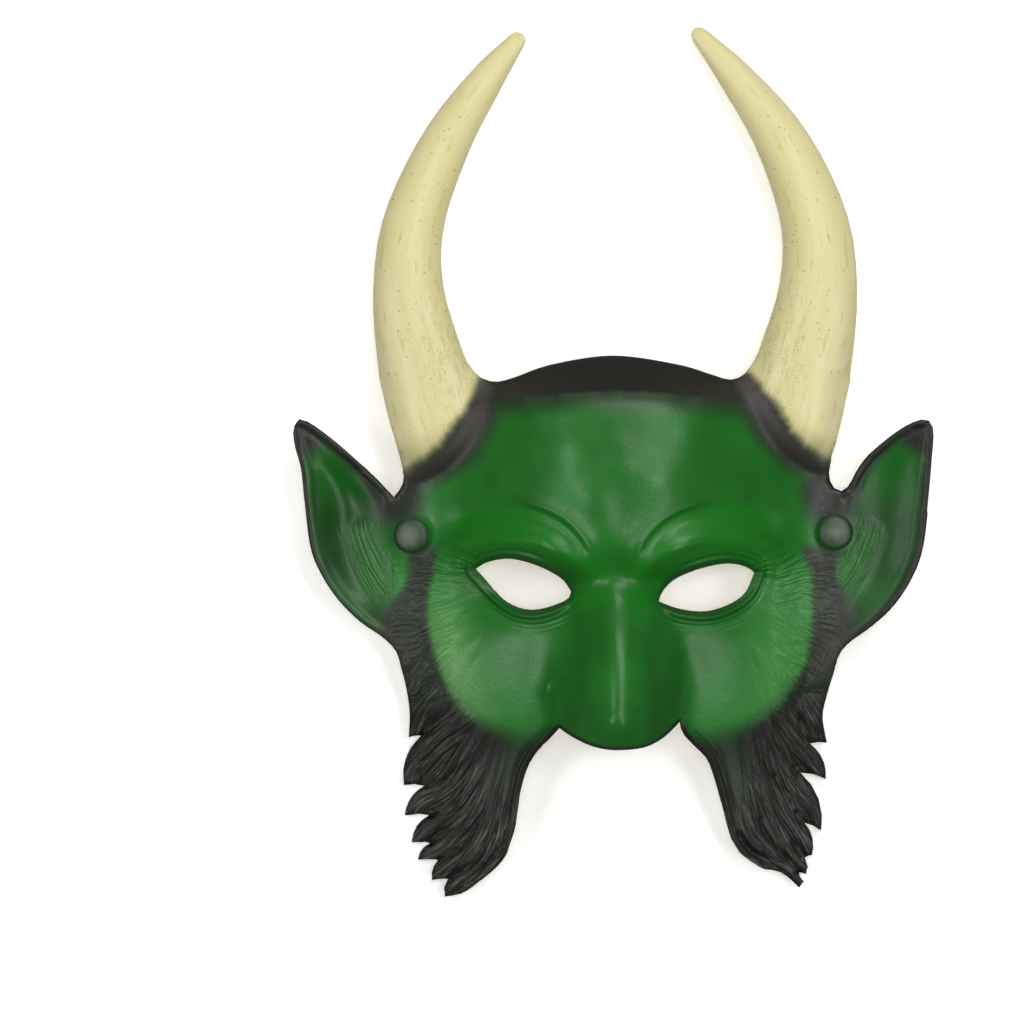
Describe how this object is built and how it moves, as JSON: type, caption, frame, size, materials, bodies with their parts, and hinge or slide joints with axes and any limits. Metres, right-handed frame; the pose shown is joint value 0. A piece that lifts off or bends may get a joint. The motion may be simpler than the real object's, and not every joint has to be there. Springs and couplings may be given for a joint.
{
  "type": "costume mask",
  "caption": "Half mask with tall curved horns, pointed ears, a hooked nose, almond eye holes and pointed side whiskers, moulded as one shell, with a domed strap stud at each temple.",
  "frame": {"origin": "centre of the footprint, on the table the mask lies on face up", "axes": "+Z out of the face, +Y up the face towards the horn tips, +X towards the right side of the face as seen from the front"},
  "size_m": [0.2566, 0.3502, 0.071],
  "materials": {
    "painted_foam": "satin painted polyurethane foam, green face, cream horns, black hair and edges",
    "stud": "satin black lacquer"
  },
  "bodies": {
    "root": {"moulded_mask": "painted_foam", "strap_stud_left": "stud", "strap_stud_right": "stud"}
  },
  "joints": []
}
